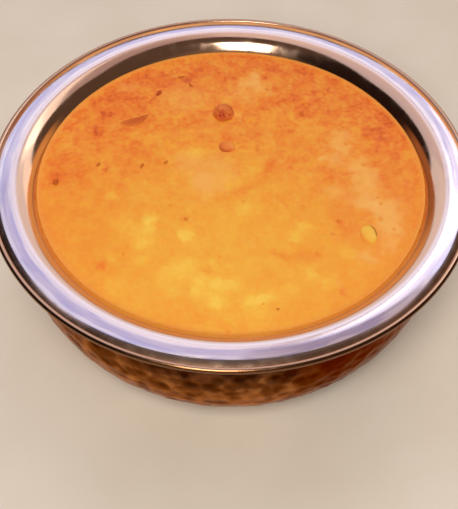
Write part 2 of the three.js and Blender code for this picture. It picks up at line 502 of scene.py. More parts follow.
lump_height = 0.14 * MM
froth_height = 0.16 * MM
lumps = bpy.data.textures.new("lumps", "CLOUDS")
lumps.noise_scale = 6 * MM
lumps.noise_depth = 1
froth_cells = bpy.data.textures.new("froth", "VORONOI")
froth_cells.noise_scale = 4.5 * MM
paint_weights(dal, "top", on_top)
paint_weights(dal, "froth", froth_area)
displace(dal, "top", lump_height, texture=lumps)
displace(dal, "froth", froth_height, texture=froth_cells)

# %% [markdown]
# ## What floats in the dal
#
# A soft lump of tomato, a curl of its skin, a drop of oil and a few bubbles. The lump starts as an
# icosphere. A rule sinks a ring of small pits round its top and crumples it all over, as on a tomato
# that has shrunk in the pot. Sculpting it by hand would do too, but a rule can be read and changed.
# Its place is in its mesh, like every finished piece's, so its transform is applied.

# %% Put a piece's place into its mesh
def apply_place(piece):
    """Puts an object's place, turn and size into its mesh."""
    bpy.ops.object.select_all(action="DESELECT")
    piece.select_set(True)
    bpy.context.view_layer.objects.active = piece
    bpy.ops.object.transform_apply(location=True, rotation=True, scale=True)


def ground_of_dal(middle):
    """Height of the dal's top at a place in millimetres, without its fine unevenness."""
    place = Vector((middle.x * MM, middle.y * MM, soup_level))
    return soup_level + swell_height * swell(place) + ring_height * ladle_rings(place)


# %% The lump of tomato
tomato_half_sizes = (3.7 * MM, 4.1 * MM, 2.8 * MM)
tomato_pits = 9
pit_ring = 0.7      # these shares are of the sphere's radius, which is 1 at first
pit_width = 0.17
hollow_depth = 0.13

bpy.ops.object.select_all(action="DESELECT")
bpy.ops.mesh.primitive_ico_sphere_add(subdivisions=6, radius=1, location=(0, 0, 0))
tomato = bpy.context.object
tomato.name = "tomato_piece_fine"


def hollow(place):
    """1 in the hollows: small pits in a ring round the top, and crumples all over."""
    angle = math.atan2(place.y, place.x) + 0.7 * noise.noise(place * 1.7)
    in_ring = math.exp(-((math.hypot(place.x, place.y) - pit_ring) / pit_width) ** 2)
    pits = max(0, math.cos(angle * tomato_pits)) ** 2 * in_ring
    crumple = max(0, noise.noise(place * 3.4 + Vector((4, 0, 0)))) * 1.5
    return min(1, 0.7 * pits + crumple)


def tomato_painted_shade(place):
    """Darker red in the hollows and most of all low at the near left, as painted shade."""
    near_left = math.exp(-((place.x + 0.15) ** 2 + (place.y + 0.7) ** 2) / 0.2)
    return 0.12 + 0.4 * hollow(place) + 0.65 * near_left


paint_weights(tomato, "hollows", hollow)
# The red number is painted shade: darker in the hollows and low at the near left
paint_attribute(tomato, "red", tomato_painted_shade)
displace(tomato, "hollows", -hollow_depth, direction="NORMAL")
tomato.scale = tomato_half_sizes
tomato.location = (tomato_place.x * MM, tomato_place.y * MM, soup_level)
apply_place(tomato)
bpy.ops.object.shade_smooth()

# %% The curl of tomato skin
skin_length = 11 * MM
skin_width = 3.9 * MM
skin_thickness = 0.45 * MM
skin_turn = 0.49
skin_bow = 1.5 * MM       # how far the strip is bent sideways
skin_lift = 0.25 * MM
skin_curl = 0.9 * MM      # its edges turn down by a quarter of this
skin_droop = 0.4 * MM     # how far its ends hang down
skin_raggedness = 0.35 * MM

bpy.ops.object.select_all(action="DESELECT")
bpy.ops.mesh.primitive_grid_add(x_subdivisions=60, y_subdivisions=18, size=1, location=(0, 0, 0))
skin = bpy.context.object
skin.name = "tomato_skin_fine"
skin.scale = (skin_length, skin_width, 1)
apply_place(skin)
for vertex in skin.data.vertices:
    out = min(1, abs(vertex.co.x) / (skin_length / 2))
    across = vertex.co.y / skin_width
    ragged = noise.noise(Vector((vertex.co.x / MM / 1.1, 0, across))) * skin_raggedness
    tail = max(0, vertex.co.x / (skin_length / 2))
    vertex.co.y = vertex.co.y * (1 - 0.6 * out ** 2) * (1 - 0.5 * tail) + ragged * abs(across) * 2
    vertex.co.y += skin_bow * (out ** 2 - 0.5)
    vertex.co.z = skin_lift - skin_curl * across ** 2 - skin_droop * out ** 2
    vertex.co.z += 0.1 * MM * noise.noise(vertex.co / MM / 1.3)


def skin_core(place):
    """1 along the middle of the curl and 0 at its edge."""
    out = place.x / (skin_length / 2)
    across = (place.y - skin_bow * (out ** 2 - 0.5)) / (skin_width / 2)
    return (1 - out ** 2) * (1 - across ** 2)


paint_attribute(skin, "core", skin_core)
thickness = skin.modifiers.new("thickness", "SOLIDIFY")
thickness.thickness = skin_thickness
thickness.offset = 0
bpy.ops.object.modifier_apply(modifier=thickness.name)
skin.rotation_euler = (0, 0, skin_turn)
skin.location = (skin_place.x * MM, skin_place.y * MM, ground_of_dal(skin_place))
apply_place(skin)
bpy.ops.object.shade_smooth()


# %% Model a low dome
def dome(name, middle, half_sizes, shaded_side, around=48):
    """A low round drop, its lower half sunk in the dal. Its side attribute is 1 at the shaded edge and 0
    at the other, for a painted shade.
    """
    bpy.ops.object.select_all(action="DESELECT")
    place = (middle.x * MM, middle.y * MM, ground_of_dal(middle))
    bpy.ops.mesh.primitive_uv_sphere_add(segments=around, ring_count=around // 2, radius=1)
    piece = bpy.context.object
    piece.name = name
    side = Vector((math.cos(shaded_side), math.sin(shaded_side)))

    def sideways(point):
        out = Vector((point.x, point.y))
        return 0.5 + 0.5 * out.dot(side) * out.length ** 2

    attribute = piece.data.attributes.new("side", "FLOAT", "POINT")
    attribute.data.foreach_set("value", [sideways(vertex.co) for vertex in piece.data.vertices])
    piece.scale = [half * MM for half in half_sizes]
    piece.location = place
    apply_place(piece)
    bpy.ops.object.shade_smooth()
    return piece


def joined(name, pieces):
    """Joins pieces into the first of them."""
    bpy.ops.object.select_all(action="DESELECT")
    for piece in pieces:
        piece.select_set(True)
    bpy.context.view_layer.objects.active = pieces[0]
    bpy.ops.object.join()
    pieces[0].name = name
    bpy.ops.object.shade_smooth()
    print(name, "holds", len(pieces), "and", len(pieces[0].data.polygons), "faces")
    return pieces[0]


# %% The drop of oil and the bubbles
# Painted shade: each dome is darker on one side, the drop at its far right and the bubbles at their near
# left
far_right = math.radians(40)
near_left = math.radians(230)
oil_drop = dome("oil_drop", oil_place, (2.7, 4.0, 0.5), far_right)
bubble = dome("bubble", bubble_place, (2.8, 2.6, 0.5), near_left)

froth_count = 30
froth_reach = 61
random.seed(14)
small_bubbles = []
while len(small_bubbles) < froth_count:
    out = froth_reach * math.sqrt(random.random())
    angle = math.tau * random.random()
    middle = Vector((out * math.cos(angle), out * math.sin(angle)))
    place = Vector((middle.x * MM, middle.y * MM, soup_level))
    if room_taken(middle, 2.5) or random.random() > froth_area(place) ** 2:
        continue
    half = random.uniform(0.5, 1.2)
    small_bubbles.append(dome("small", middle, (half, 0.9 * half, 0.18 * half), near_left, around=20))

# One more sits by itself near the wall in front
wall_bubble_place = Vector((-0.1, -63.0))
small_bubbles.append(dome("small", wall_bubble_place, (0.9, 0.7, 0.6), near_left, around=20))
froth_bubbles = joined("froth_bubbles", small_bubbles)

# %% [markdown]
# ## Flecks of spice
#
# Here and there a fleck of chilli skin or a burnt seed shows. They are tiny flakes that lie on the
# dal, half sunk. No two are alike, so they are not copies of one: each starts as a low icosphere, is
# nibbled by its own noise, flattened and turned. The larger ones have a place of their own, and the
# small ones are scattered. All are then joined into one piece.

# %% Model one fleck
random.seed(8)
fleck_size = 1.15         # times its half size, for what the nibbling takes away
fleck_narrowness = 0.85
fleck_flatness = 0.1
fleck_lift = 0.03 * MM
small_fleck_size = 0.8


def fleck_at(middle, half, turn, stretch, darkness):
    """One flake, sunk halfway. Its darkness is from 0 to 1."""
    bpy.ops.object.select_all(action="DESELECT")
    place = (middle.x * MM, middle.y * MM, ground_of_dal(middle) + fleck_lift)
    bpy.ops.mesh.primitive_ico_sphere_add(subdivisions=3, radius=fleck_size * half * MM, location=place)
    fleck = bpy.context.object
    seed = Vector((middle.x, middle.y, 0))
    for vertex in fleck.data.vertices:
        vertex.co *= 1 + 0.5 * noise.noise(vertex.co / (half * MM) * 1.5 + seed)
    attribute = fleck.data.attributes.new("dark", "FLOAT", "POINT")
    attribute.data.foreach_set("value", [darkness] * len(fleck.data.vertices))
    fleck.scale = (stretch, fleck_narrowness, fleck_flatness)
    fleck.rotation_euler = (0.2 * random.uniform(-1, 1), 0.2 * random.uniform(-1, 1), turn)
    apply_place(fleck)
    return fleck


# %% Put the flecks in place
# (x, y, half size, stretch, turn, darkness): places and sizes in millimetres
large_flecks = [
    (-58.6, -1.9, 1.1, 1.6, 1.8, 0.7),
    (-44.9, 6.3, 0.6, 1.6, 1.4, 0.5),
    (-42.3, 3.4, 0.4, 2.4, 1.1, 0.35),
    (-30.0, 5.6, 0.7, 1.5, 1.5, 0.5),
    (-22.1, 7.6, 0.6, 1.4, 1.1, 0.4),
    (-26.3, 42.0, 0.8, 1.7, 1.2, 1.0),
    (-15.5, 47.3, 0.5, 2.6, 2.2, 0.6),
    (-18.8, 51.2, 0.7, 1.9, 0.0, 0.6),
    (24.3, 32.0, 0.6, 1.5, 1.3, 0.6),
    (34.9, -18.1, 0.5, 1.3, 1.4, 0.35),
    (14.6, -54.2, 0.42, 1.2, 0.6, 0.5),
    (-14.8, -18.0, 0.5, 1.7, 2.4, 0.25),
]
flecks = [
    fleck_at(Vector((x, y)), half, turn, stretch, darkness)
    for x, y, half, stretch, turn, darkness in large_flecks
]
for middle, half, turn in scatter(count=16, half=0.65, reach=58, seed=5):
    flecks.append(fleck_at(middle, small_fleck_size * half, turn, 1.2, 0.0))
spice_flecks = joined("spice_flecks", flecks)

# %% [markdown]
# ## Painting how red the dal is
#
# The dal is not one orange. Soft lentils show through as yellow patches, and chilli and oil make
# redder smears. Both are one scale, so a single number at each vertex says how red the dal is there,
# and the material turns it into a colour. The froth and the ladle's mark are paler, and the same
# second number also carries a painted sheen on the froth to the right and at the back, and a small
# painted highlight by the tomato. The numbers come from soft round spots and strokes whose edges a
# noise frays. Painting an image would do too, but an attribute needs no image and stays with the mesh.

# %% Soft spots and strokes with frayed edges
# Without a seed, noise_vector starts from the clock, and every run would fray the edges differently
noise.seed_set(5)


def frayed(place, size, amount):
    """The place in millimetres, pushed about by noise, so that what is asked of it has ragged edges."""
    push = noise.noise_vector(Vector((place.x / MM / size, place.y / MM / size, 0))) * amount
    return Vector((place.x / MM + push.x, place.y / MM + push.y))


def spots(where, list_of_spots, crisp=1.0):
    """The sum of soft spots (x, y, radius, strength) at a place. Above 1, crisp sharpens them."""
    total = 0
    for x, y, radius, strength in list_of_spots:
        out = ((where.x - x) ** 2 + (where.y - y) ** 2) / radius ** 2
        if out < 6:
            total += strength * math.exp(-out ** crisp)
    return total


def strokes(where, list_of_strokes):
    """The strongest of soft strokes (x, y, x, y, width, strength) at a place."""
    strongest = 0
    for x1, y1, x2, y2, width, strength in list_of_strokes:
        along = Vector((x2 - x1, y2 - y1))
        share = max(0, min(1, (where - Vector((x1, y1))).dot(along) / along.length_squared))
        away = (where - Vector((x1, y1)) - along * share).length / width
        if away < 2.5:
            strongest = max(strongest, strength * math.exp(-away ** 2))
    return strongest


# %% Where the lentils show yellow
yellow_spots = [
    (-26.0, -18.5, 2.2, 0.75),
    (-26.5, -22.5, 2.4, 0.55),
    (-28.0, -28.5, 2.8, 0.55),
    (-36.0, -19.5, 3.2, 0.3),
    (-32.0, -23.0, 4.0, 0.25),
    (-13.7, -26.0, 2.6, 0.7),
    (-15.5, -23.5, 2.0, 0.45),
    (-9.5, -43.8, 2.4, 0.7),
    (-4.0, -44.8, 2.2, 0.7),
    (0.8, -44.6, 2.2, 0.45),
    (-10.2, -48.0, 2.0, 0.6),
    (-14.5, -38.0, 4.2, 0.45),
    (-19.0, -41.0, 4.0, 0.3),
    (-4.0, -52.0, 2.6, 0.6),
    (-7.0, -50.0, 5.0, 0.25),
    (8.0, -50.8, 2.2, 0.95),
    (11.8, -50.0, 2.2, 0.6),
    (5.6, -52.0, 2.0, 0.4),
    (7.0, -57.0, 4.0, 0.25),
    (-37.0, -35.0, 1.7, 0.5),
    (-36.0, -46.5, 3.0, 0.35),
    (-28.0, -35.0, 2.2, 0.3),
    (-17.0, -47.0, 2.6, 0.3),
    (21.2, -24.6, 2.6, 0.55),
    (24.0, -20.3, 2.0, 0.4),
    (25.0, -40.0, 2.2, 0.5),
    (30.5, -43.5, 2.6, 0.35),
    (19.0, -46.0, 3.0, 0.3),
    (4.4, -13.5, 2.8, 0.4),
    (24.5, -0.6, 2.2, 0.3),
    (28.0, 2.0, 2.0, 0.2),
    (-12.4, 12.2, 3.4, 0.4),
    (-19.8, -1.0, 2.0, 0.4),
    (-40.0, -8.0, 1.8, 0.45),
    (-28.8, -1.8, 1.5, 0.3),
    (-6.0, -36.0, 1.7, 0.35),
    (20.5, 31.2, 1.8, 0.5),
    (16.0, 35.0, 1.5, 0.3),
    (38.0, -32.0, 3.0, 0.3),
    (13.5, 16.8, 1.8, 0.3),
    (-33.0, 35.0, 1.8, 0.2),
    (-55.5, 14.5, 2.6, 0.25),
    (2.0, -4.0, 15.0, 0.12),
    (38.0, -36.0, 10.0, 0.12),
    (-30.0, -46.0, 9.0, 0.08),
    (0.0, 20.0, 9.0, 0.14),
]

# %% Where the dal is redder
red_spots = [
    (-14.8, -18.0, 1.5, 0.55),
    (-40.8, -38.0, 1.6, 0.75),
    (-7.5, -39.4, 1.7, 0.6),
    (-8.7, -57.0, 2.2, 0.45),
    (34.8, -18.1, 1.3, 0.4),
    (37.0, -21.5, 3.2, 0.4),
    (38.5, -14.0, 2.8, 0.2),
    (34.4, -47.2, 1.5, 0.6),
    (12.5, 7.0, 2.8, 0.25),
    (-13.0, 29.0, 2.2, 0.35),
    (-46.0, 22.0, 2.2, 0.6),
    (-44.0, 30.0, 2.2, 0.4),
    (-34.0, 37.5, 3.4, 0.5),
    (-31.0, 33.0, 2.4, 0.15),
    (-37.5, -3.0, 1.4, 0.35),
    (-31.0, -13.0, 1.8, 0.2),
    (-39.0, -13.5, 1.8, 0.2),
    (10.8, -10.2, 1.1, 0.35),
    (18.6, -12.0, 1.2, 0.35),
    (20.2, 5.2, 0.9, 0.45),
    (3.3, 2.3, 0.9, 0.35),
    (17.0, 23.0, 2.4, 0.35),
    (15.5, 39.0, 5.0, 0.15),
    (22.0, 37.0, 5.0, 0.1),
    (24.3, 32.0, 1.4, 0.4),
    (18.0, 46.0, 4.0, 0.1),
    (20.0, 16.0, 5.0, 0.1),
    (12.0, 51.0, 1.1, 0.55),
    (34.0, 2.5, 2.2, 0.2),
    (37.5, 3.5, 1.3, 0.45),
    (39.3, -2.0, 1.1, 0.4),
    (38.6, -6.8, 1.2, 0.4),
    (49.5, 0.5, 2.4, 0.25),
    (44.0, 16.0, 2.2, 0.1),
    (-44.5, 13.0, 7.0, 0.2),
    (-36.0, 12.0, 6.0, 0.2),
    (-54.0, 4.0, 7.0, 0.2),
    (-59.0, -2.0, 2.4, 0.4),
    (-16.0, 50.0, 5.0, 0.1),
    (55.0, 20.0, 6.0, 0.2),
]
red_strokes = [
    (14.0, 9.0, 11.0, 1.0, 1.6, 0.35),
    (11.0, 1.0, 4.0, -5.5, 1.5, 0.35),
    (4.0, -5.5, -5.0, -9.4, 1.3, 0.25),
    (14.0, -31.8, 17.0, -33.2, 1.4, 0.6),
    (17.0, -33.2, 27.0, -33.2, 2.2, 0.32),
    (-28.6, 37.5, -26.4, 42.0, 0.9, 0.7),
    (-17.2, 49.6, -14.4, 45.6, 1.1, 0.45),
    (-43.3, 1.8, -41.2, 5.4, 0.8, 0.45),
    (-4.4, 17.4, -2.6, 13.2, 0.7, 0.4),
    (-2.6, 13.2, 1.2, 13.4, 0.7, 0.4),
    (-1.0, 19.0, 4.0, 16.5, 1.4, 0.2),
]

# %% Where the dal is pale or has a painted sheen
pale_and_sheen_spots = [
    (8.0, 48.6, 3.6, 0.8),
    (12.5, 45.0, 3.0, 0.45),
    (3.0, 42.0, 6.0, 0.3),
    (-16.0, 40.0, 8.0, 0.25),
    (38.0, 22.0, 3.0, 0.55),
    (37.0, 16.0, 3.6, 0.65),
    (36.0, 9.0, 3.0, 0.6),
    (44.0, 6.0, 4.2, 0.65),
    (46.0, -1.0, 4.2, 0.65),
    (44.0, -9.0, 4.6, 0.6),
    (50.0, -12.0, 5.0, 0.75),
    (51.0, -20.0, 4.6, 0.75),
    (50.5, -28.0, 3.6, 0.5),
    (31.3, 9.9, 1.6, 0.9),
    (35.0, -5.0, 3.6, 0.35),
    (43.0, -33.0, 2.8, 0.6),
    (-8.7, -2.8, 5.0, 0.6),
    (-5.0, 4.0, 7.0, 0.35),
    (-15.0, 8.0, 4.2, 0.45),
    (2.3, 28.7, 1.1, 0.7),
    (2.6, 31.0, 0.9, 0.4),
    (-38.5, 45.0, 3.0, 0.2),
]

# %% Paint the numbers
yellow_middle = Vector((-2, -40))
reddest_distance = 92
redness_in_middle = 0.28
added_by_distance = 0.42
added_by_red_spots = 0.42
taken_by_yellow_spots = 0.5
lentil_yellow = 0.1


def redness(place):
    """0 at the most yellow lentil and 1 at the reddest smear."""
    near = frayed(place, 1.7, 1.5)
    wide = frayed(place, 9, 5)
    broad = (wide - yellow_middle).length / reddest_distance
    red = spots(near, red_spots) + strokes(near, red_strokes)
    yellow = spots(near, yellow_spots, crisp=1.2) + lentil_yellow * over_lentil(place)
    reddened = redness_in_middle + added_by_distance * broad + added_by_red_spots * red
    return reddened - taken_by_yellow_spots * yellow


paint_attribute(dal, "redness", redness)
# The pale number is partly paler froth and the ladle's mark, and partly painted sheen and a painted
# highlight
paint_attribute(dal, "pale", lambda place: spots(frayed(place, 3.0, 2.8), pale_and_sheen_spots, crisp=1.5))
paint_attribute(dal, "frothy", froth_area)

# %% [markdown]
# ## Materials
#
# A material is a net of nodes. Some effects are wanted by more than one material, so each is made
# once as a node group with named inputs: cloudy mottling, the fine rings that turning leaves on
# metal, and a mask for what lies between two radii. All read Object coordinates, so the pattern
# keeps its true size and sits on the piece.

# %% Helpers for building nodes
def add_node(tree, kind, x, y, **settings):
    made = tree.nodes.new(kind)
    made.location = (x, y)
    for name, value in settings.items():
        setattr(made, name, value)
    return made


def give(tree, socket, value):
    """Sets a socket to a number or colour, or links another node's output to it."""
    if isinstance(value, bpy.types.NodeSocket):
        tree.links.new(value, socket)
    else:
        socket.default_value = value


def maths(tree, operation, x, y, *values):
    made = add_node(tree, "ShaderNodeMath", x, y, operation=operation)
    for socket, value in zip(made.inputs, values):
        give(tree, socket, value)
    return made.outputs[0]


def weighted_sum(tree, x, y, base, *shares):
    """The base plus each value times its weight, for shares (value, weight)."""
    total = base
    for number, (value, weight) in enumerate(shares):
        total = maths(tree, "MULTIPLY_ADD", x + 150 * number, y, value, weight, total)
    return total


def axes(tree, x, y, kind="Object"):
    """X, Y and Z of the place on the object, or of the direction (Generated), as outputs by name."""
    place = add_node(tree, "ShaderNodeTexCoord", x, y)
    parts = add_node(tree, "ShaderNodeSeparateXYZ", x + 200, y)
    give(tree, parts.inputs[0], place.outputs[kind])
    return parts.outputs


def mixed(tree, x, y, share, first, second):
    """A mix of two colours. Share 0 gives the first, and 1 the second."""
    made = add_node(tree, "ShaderNodeMix", x, y, data_type="RGBA")
    give(tree, made.inputs["Factor"], share)
    give(tree, made.inputs[6], first)
    give(tree, made.inputs[7], second)
    return made.outputs[2]


def smooth_step(tree, x, y, value, low, high):
    """0 below low, 1 above high and a soft climb between."""
    made = add_node(tree, "ShaderNodeMapRange", x, y, interpolation_type="SMOOTHSTEP")
    give(tree, made.inputs["Value"], value)
    give(tree, made.inputs["From Min"], low)
    give(tree, made.inputs["From Max"], high)
    return made.outputs["Result"]


def scale_of_colours(tree, x, y, value, stops):
    """A colour for a number from 0 to 1, by stops (number, colour)."""
    made = add_node(tree, "ShaderNodeValToRGB", x, y)
    give(tree, made.inputs["Fac"], value)
    ramp = made.color_ramp
    ramp.elements[0].position, ramp.elements[0].color = stops[0]
    ramp.elements[1].position, ramp.elements[1].color = stops[-1]
    for position, colour in stops[1:-1]:
        ramp.elements.new(position).color = colour
    return made.outputs["Color"]


def new_group(name, inputs, output):
    """A node group whose inputs and one output are numbers, by name."""
    tree = bpy.data.node_groups.new(name, "ShaderNodeTree")
    for label, value in inputs.items():
        socket = tree.interface.new_socket(label, in_out="INPUT", socket_type="NodeSocketFloat")
        socket.default_value = value
    tree.interface.new_socket(output, in_out="OUTPUT", socket_type="NodeSocketFloat")
    start = add_node(tree, "NodeGroupInput", -900, 0)
    end = add_node(tree, "NodeGroupOutput", 900, 0)
    return tree, start, end


def placed_group(tree, group, x, y, **values):
    made = add_node(tree, "ShaderNodeGroup", x, y, node_tree=group)
    for label, value in values.items():
        give(tree, made.inputs[label], value)
    return made.outputs[0]


# %% The mottling group
def build_mottling():
    """Soft clouds of a given size in millimetres. Low and High set where they start and end."""
    inputs = {"Size": 5, "Detail": 3, "Low": 0.4, "High": 0.6, "Seed": 0}
    tree, start, end = new_group("mottling", inputs, "Mask")
    place = add_node(tree, "ShaderNodeTexCoord", -900, 300)
    scale = maths(tree, "DIVIDE", -700, 0, 1 / MM, start.outputs["Size"])
    clouds = add_node(tree, "ShaderNodeTexNoise", -400, 200, noise_dimensions="4D")
    give(tree, clouds.inputs["Vector"], place.outputs["Object"])
    give(tree, clouds.inputs["W"], start.outputs["Seed"])
    give(tree, clouds.inputs["Scale"], scale)
    give(tree, clouds.inputs["Detail"], start.outputs["Detail"])
    mask = smooth_step(tree, 200, 200, clouds.outputs["Fac"], start.outputs["Low"], start.outputs["High"])
    give(tree, end.inputs["Mask"], mask)
    return tree


mottling = build_mottling()


# %% The turned rings and the zone group
def radius_in_mm(tree):
    """Distance from the Z axis, and the direction away from it, from Object coordinates."""
    place = axes(tree, -950, 300)
    flat_place = add_node(tree, "ShaderNodeCombineXYZ", -600, 300)
    give(tree, flat_place.inputs["X"], place["X"])
    give(tree, flat_place.inputs["Y"], place["Y"])
    length = add_node(tree, "ShaderNodeVectorMath", -450, 400, operation="LENGTH")
    give(tree, length.inputs[0], flat_place.outputs[0])
    outwards = add_node(tree, "ShaderNodeVectorMath", -450, 200, operation="NORMALIZE")
    give(tree, outwards.inputs[0], flat_place.outputs[0])
    radius = maths(tree, "DIVIDE", -300, 400, length.outputs["Value"], MM)
    return radius, outwards.outputs["Vector"]


def build_turned_rings():
    """Fine rings round the Z axis, as polishing leaves them. They break up slowly along the turn."""
    inputs = {"Spacing": 0.4, "Breaks": 3, "Seed": 0}
    tree, start, end = new_group("turned rings", inputs, "Height")
    radius, outwards = radius_in_mm(tree)
    slow = add_node(tree, "ShaderNodeVectorMath", -250, 200, operation="SCALE")
    give(tree, slow.inputs[0], outwards)
    give(tree, slow.inputs["Scale"], start.outputs["Breaks"])
    fine = add_node(tree, "ShaderNodeCombineXYZ", -50, 350)
    ring_number = maths(tree, "DIVIDE", -150, 400, radius, start.outputs["Spacing"])
    give(tree, fine.inputs["Z"], ring_number)
    place = add_node(tree, "ShaderNodeVectorMath", 150, 250, operation="ADD")
    give(tree, place.inputs[0], slow.outputs[0])
    give(tree, place.inputs[1], fine.outputs[0])
    lines = add_node(tree, "ShaderNodeTexNoise", 350, 250, noise_dimensions="4D")
    give(tree, lines.inputs["Vector"], place.outputs[0])
    give(tree, lines.inputs["W"], start.outputs["Seed"])
    give(tree, lines.inputs["Scale"], 1.0)
    give(tree, lines.inputs["Detail"], 2.0)
    give(tree, end.inputs["Height"], lines.outputs["Fac"])
    return tree


def build_zone():
    """1 between two radii in millimetres, with soft edges."""
    tree, start, end = new_group("zone", {"Inner": 10, "Outer": 20, "Soft": 1}, "Mask")
    radius, _ = radius_in_mm(tree)
    inner_high = maths(tree, "ADD", 0, 200, start.outputs["Inner"], start.outputs["Soft"])
    outer_high = maths(tree, "ADD", 0, 0, start.outputs["Outer"], start.outputs["Soft"])
    inside = smooth_step(tree, 200, 200, radius, start.outputs["Inner"], inner_high)
    outside = smooth_step(tree, 200, 0, radius, start.outputs["Outer"], outer_high)
    give(tree, end.inputs["Mask"], maths(tree, "SUBTRACT", 500, 100, inside, outside))
    return tree


turned_rings = build_turned_rings()
zone = build_zone()


# %% Start a material
def new_material(name):
    """A material with its Principled shader and that shader's tree."""
    material = bpy.data.materials.new(name)
    material.use_nodes = True
    tree = material.node_tree
    shader = tree.nodes["Principled BSDF"]
    shader.location = (600, 0)
    return material, tree, shader


def bump(tree, shader, height, distance):
    """A bump of a real depth in metres, wired to the shader's normal."""
    made = add_node(tree, "ShaderNodeBump", 350, -300)
    give(tree, made.inputs["Height"], height)
    give(tree, made.inputs["Distance"], distance)
    give(tree, shader.inputs["Normal"], made.outputs["Normal"])


def wear(piece, material):
    piece.data.materials.clear()
    piece.data.materials.append(material)
    print(piece.name, "wears", material.name, "of", len(material.node_tree.nodes), "nodes")


def srgb(red, green, blue):
    """A colour as seen on a screen, 0 to 255, turned into the linear values that shaders use."""
    linear = []
    for value in (red, green, blue):
        share = value / 255
        linear.append(share / 12.92 if share <= 0.04045 else ((share + 0.055) / 1.055) ** 2.4)
    return (*linear, 1)


# %% [markdown]
# ### Steel
#
# Polished steel is all reflection. What makes it real is that it is not perfect: rings from the polishing
# wheel in streaks of lighter and darker steel, and cloudy smears that dull the shine. Its colour also
# holds painted reflections and painted shade. The flat is tinted lavender in those streaks, with a darker
# ring, like the lilac panels it mirrors. The slope and the rolled edge are tinted brown like the dim room
# they mirror, and are rougher where scuffed by stacking. The underside of the roll is darker, as painted
# shade. The wall just above the dal is tinted brownish, partly a thin film of dal and partly a painted
# reflection of the dal.

# %% The steel material
steel_material, tree, shader = new_material("polished steel")
streaks = placed_group(tree, turned_rings, -900, 400, Spacing=1.4, Breaks=5.0)
streaks = smooth_step(tree, -700, 400, streaks, 0.38, 0.62)
on_flat = placed_group(tree, zone, -900, 200, Inner=72.4, Outer=76.4, Soft=0.4)
painted_darker_reflection = placed_group(tree, zone, -900, 0, Inner=72.8, Outer=75.0, Soft=0.6)
smears = placed_group(tree, mottling, -900, -200, Size=5.0, Low=0.45, High=0.65)
# Painted reflection: the slope and rolled edge are tinted brown like the dim room they mirror, and are
# rougher where scuffed
scuffed_and_painted_reflection = placed_group(tree, zone, -900, -400, Inner=76.6, Outer=90.0, Soft=0.8)
# The wall just above the dal is tinted brownish: partly a thin film of dal and partly a painted
# reflection of the dal
film_and_painted_reflection = placed_group(tree, zone, -900, -600, Inner=60.0, Outer=70.0, Soft=1.4)
# Painted shade: the underside of the rolled edge is darker
painted_shade_under_roll = placed_group(tree, zone, -900, -800, Inner=79.0, Outer=90.0, Soft=0.6)
# Painted reflection: lavender streaks and a darker lavender ring on the flat, like the lilac panels it
# mirrors
steel_colour = mixed(tree, -500, 500, streaks, srgb(246, 238, 244), srgb(206, 202, 232))
painted_darker_reflection_share = maths(tree, "MULTIPLY", -700, 100, painted_darker_reflection, 0.6)
steel_colour = mixed(tree, -400, 400, painted_darker_reflection_share, steel_colour, srgb(196, 186, 214))
steel_colour = mixed(tree, -300, 400, on_flat, srgb(248, 236, 240), steel_colour)
# Film, painted reflections and painted shade, each mixed into the steel's colour
stains_and_painted_light = [(film_and_painted_reflection, srgb(222, 186, 160)), (scuffed_and_painted_reflection, srgb(204, 168, 144)), (painted_shade_under_roll, srgb(122, 84, 54))]
for number, (mask, colour) in enumerate(stains_and_painted_light):
    steel_colour = mixed(tree, -200 + 100 * number, 300, mask, steel_colour, colour)
give(tree, shader.inputs["Base Color"], steel_colour)
shader.inputs["Metallic"].default_value = 1.0
dull = weighted_sum(tree, -500, 0, 0.12, (smears, 0.05), (scuffed_and_painted_reflection, 0.06))
give(tree, shader.inputs["Roughness"], dull)
fine_rings = placed_group(tree, turned_rings, 0, -300, Spacing=0.35, Breaks=2.0, Seed=5.0)
bump(tree, shader, fine_rings, 0.004 * MM)
wear(steel_bowl, steel_material)

# %% [markdown]
# ### Copper
#
# Copper browns in the air. The ridges between the dimples are rubbed bright, and the dimples keep the
# brown, so the material reads how deep each vertex was pushed. High up under the rim the copper is
# painted darker, as painted shade, and low down it is lighter, as a painted reflection of the pale floor.
# The left is painted a little lighter, as painted light from the front left. One number gathers all of
# this, and a scale of colours reads it, so that each cause can be made stronger or weaker by its weight.
# The right side is turned a darker red on top of that.

# %% The copper material
# From a rubbed ridge to the brown in the bottom of a dimple. The darker end also gives the painted shade
# under the rim
copper_colours = [
    (0.0, srgb(246, 200, 140)),
    (0.3, srgb(208, 146, 92)),
    (0.65, srgb(122, 76, 48)),
    (1.0, srgb(54, 28, 20)),
]
copper_material, tree, shader = new_material("hammered copper")
pit = add_node(tree, "ShaderNodeAttribute", -1100, 300, attribute_name="pit")
place = axes(tree, -1300, 0)
# Painted shade and painted reflection: darker high up under the rim, lighter low down like the pale floor
# it mirrors
painted_shade_under_rim = smooth_step(tree, -900, 0, place["Z"], 18 * MM, 46 * MM)
tarnish = placed_group(tree, mottling, -900, 200, Size=7.0, Detail=8.0, Low=0.38, High=0.62)
red_bloom = placed_group(tree, mottling, -900, -200, Size=26.0, Detail=2.0, Low=0.36, High=0.56, Seed=2.0)
